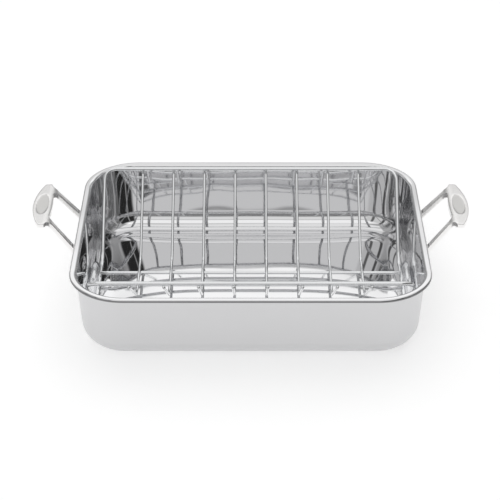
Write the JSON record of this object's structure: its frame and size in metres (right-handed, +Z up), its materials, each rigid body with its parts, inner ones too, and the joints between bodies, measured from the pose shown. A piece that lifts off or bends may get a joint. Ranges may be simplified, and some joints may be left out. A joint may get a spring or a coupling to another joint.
{
  "type": "roasting pan with rack",
  "caption": "Deep rectangular steel roasting pan with a flared lip, riveted cast loop handles and a lift-out wire rack that cradles a roast above the floor.",
  "frame": {"origin": "middle of the pan's flat underside", "axes": "+X towards the right handle, +Y towards the back long wall, +Z up out of the pan"},
  "size_m": [0.519, 0.331, 0.1192],
  "materials": {
    "pan_steel": "polished stainless sheet, mirror-bright inside and satin-smooth outside",
    "cast_steel": "cast stainless, polished",
    "rivet_steel": "polished stainless",
    "chromed_wire": "bright chromed wire"
  },
  "bodies": {
    "pan": {"pan_body": "pan_steel", "left_handle": "cast_steel", "right_handle": "cast_steel", "left_rivet_1": "rivet_steel", "left_rivet_2": "rivet_steel", "left_rivet_3": "rivet_steel", "left_rivet_4": "rivet_steel", "right_rivet_1": "rivet_steel", "right_rivet_2": "rivet_steel", "right_rivet_3": "rivet_steel", "right_rivet_4": "rivet_steel"},
    "rack": {"rack_frame": "chromed_wire", "rack_rail": "chromed_wire", "front_rack_rail": "chromed_wire", "cross_wire_1": "chromed_wire", "cross_wire_2": "chromed_wire", "cross_wire_3": "chromed_wire", "cross_wire_4": "chromed_wire", "cross_wire_5": "chromed_wire", "cross_wire_6": "chromed_wire", "cross_wire_7": "chromed_wire", "cross_wire_8": "chromed_wire"}
  },
  "joints": [
    {"name": "rack_lift", "type": "slide", "parent": "pan", "child": "rack", "axis": [0, 0, 1], "range_m": [0, 0.13]}
  ]
}
